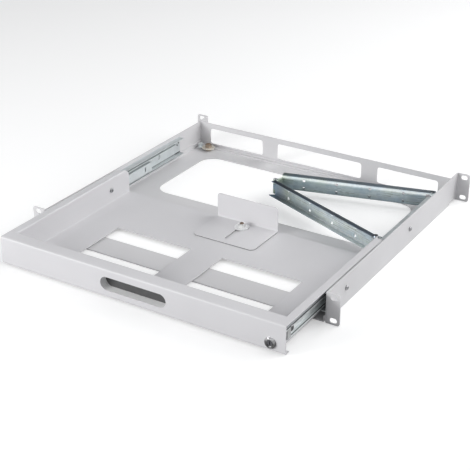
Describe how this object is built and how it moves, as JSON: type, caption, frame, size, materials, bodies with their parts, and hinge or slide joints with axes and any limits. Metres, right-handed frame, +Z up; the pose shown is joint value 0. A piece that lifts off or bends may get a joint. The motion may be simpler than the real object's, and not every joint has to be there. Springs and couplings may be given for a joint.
{
  "type": "rack keyboard drawer",
  "caption": "Flat rack-mount sliding keyboard tray with ball-bearing slides, a folding cable arm, a keyboard stop, a recessed pull and a cam lock.",
  "frame": {"origin": "centre of the front ears' four mounting slots, in the plane of the ears' front faces", "axes": "+X to the right seen from the front, +Y to the rear, +Z up; the drawer pulls out towards -Y"},
  "size_m": [0.4826, 0.5185, 0.0436],
  "materials": {
    "chassis_paint": "light grey fine-textured powder coat",
    "tray_paint": "light grey fine-textured powder coat",
    "grip_light": "light grey powder coat",
    "grip_dark": "mid grey, matt",
    "slide_zinc": "bright zinc plating",
    "arm_zinc": "zinc plating with a slight spangle",
    "ball_steel": "polished steel",
    "brass": "yellow passivated",
    "lock_chrome": "polished plating",
    "lock_dark": "dark satin plating",
    "black_plastic": "black moulded plastic"
  },
  "bodies": {
    "chassis": {"chassis_pan": "chassis_paint", "left_side_wall": "chassis_paint", "right_side_wall": "chassis_paint", "rear_panel": "chassis_paint", "left_slide_outer": "slide_zinc", "right_slide_outer": "slide_zinc", "wall_screws": "slide_zinc", "earth_stud": "brass", "earth_base_nut": "brass", "earth_tag": "slide_zinc", "earth_washer": "brass", "earth_nut": "brass", "rear_arm_bracket": "slide_zinc", "rear_arm_pin": "ball_steel"},
    "drawer": {"tray_pan": "tray_paint", "front_panel": "tray_paint", "grip_recess": "grip_light", "grip_backing": "grip_dark", "lock_body": "lock_chrome", "lock_nut": "lock_chrome", "left_slide_inner": "slide_zinc", "right_slide_inner": "slide_zinc", "tray_screws": "slide_zinc", "left_slide_buffer": "black_plastic", "right_slide_buffer": "black_plastic", "stop_stud": "brass", "stop_washer": "slide_zinc", "stop_nut": "slide_zinc", "front_arm_bracket": "slide_zinc"},
    "left_middle": {"left_slide_middle": "slide_zinc"},
    "right_middle": {"right_slide_middle": "slide_zinc"},
    "left_outer_run": {"left_outer_cage": "slide_zinc", "left_outer_balls": "ball_steel"},
    "right_outer_run": {"right_outer_cage": "slide_zinc", "right_outer_balls": "ball_steel"},
    "left_inner_run": {"left_inner_cage": "slide_zinc", "left_inner_balls": "ball_steel"},
    "right_inner_run": {"right_inner_cage": "slide_zinc", "right_inner_balls": "ball_steel"},
    "rear_link": {"rear_arm": "arm_zinc", "elbow_pin": "ball_steel"},
    "front_link": {"front_arm": "arm_zinc", "front_arm_rivet": "ball_steel"},
    "lock_core": {"lock_plug": "lock_dark", "lock_cam": "lock_chrome", "lock_screw": "lock_chrome"},
    "stop_plate": {"keyboard_stop": "tray_paint"}
  },
  "joints": [
    {"name": "drawer_slide", "type": "slide", "parent": "chassis", "child": "drawer", "axis": [0, -1, 0], "range_m": [-0.094, 0.156]},
    {"name": "left_middle_slide", "type": "slide", "parent": "chassis", "child": "left_middle", "axis": [0, -1, 0], "range_m": [-0.0188, 0.0312]},
    {"name": "left_outer_run_slide", "type": "slide", "parent": "chassis", "child": "left_outer_run", "axis": [0, -1, 0], "range_m": [-0.0094, 0.0156]},
    {"name": "left_inner_run_slide", "type": "slide", "parent": "chassis", "child": "left_inner_run", "axis": [0, -1, 0], "range_m": [-0.0564, 0.0936]},
    {"name": "right_middle_slide", "type": "slide", "parent": "chassis", "child": "right_middle", "axis": [0, -1, 0], "range_m": [-0.0188, 0.0312]},
    {"name": "right_outer_run_slide", "type": "slide", "parent": "chassis", "child": "right_outer_run", "axis": [0, -1, 0], "range_m": [-0.0094, 0.0156]},
    {"name": "right_inner_run_slide", "type": "slide", "parent": "chassis", "child": "right_inner_run", "axis": [0, -1, 0], "range_m": [-0.0564, 0.0936]},
    {"name": "rear_link_hinge", "type": "hinge", "parent": "chassis", "child": "rear_link", "pos_m": [0.2085, 0.3579, -0.0007], "axis": [0, 0, 1], "range_deg": [-13.81, 22.91]},
    {"name": "elbow_hinge", "type": "hinge", "parent": "rear_link", "child": "front_link", "pos_m": [-0.01019, 0.27957, -0.0007], "axis": [0, 0, 1], "range_deg": [-43.7, 26.34]},
    {"name": "lock_turn", "type": "hinge", "parent": "drawer", "child": "lock_core", "pos_m": [0.198, -0.09, -0.008], "axis": [0, -1, 0], "range_deg": [0, 90]},
    {"name": "stop_slide", "type": "slide", "parent": "drawer", "child": "stop_plate", "axis": [0, 1, 0], "range_m": [0, 0.038]}
  ],
  "couplings": [
    {"joint": "left_middle_slide", "follows": "drawer_slide", "ratio": 0.2},
    {"joint": "left_outer_run_slide", "follows": "drawer_slide", "ratio": 0.1},
    {"joint": "left_inner_run_slide", "follows": "drawer_slide", "ratio": 0.6},
    {"joint": "right_middle_slide", "follows": "drawer_slide", "ratio": 0.2},
    {"joint": "right_outer_run_slide", "follows": "drawer_slide", "ratio": 0.1},
    {"joint": "right_inner_run_slide", "follows": "drawer_slide", "ratio": 0.6},
    {"joint": "rear_link_hinge", "follows": "drawer_slide", "rad_per_m": 2.5631},
    {"joint": "elbow_hinge", "follows": "drawer_slide", "rad_per_m": -4.8888}
  ]
}
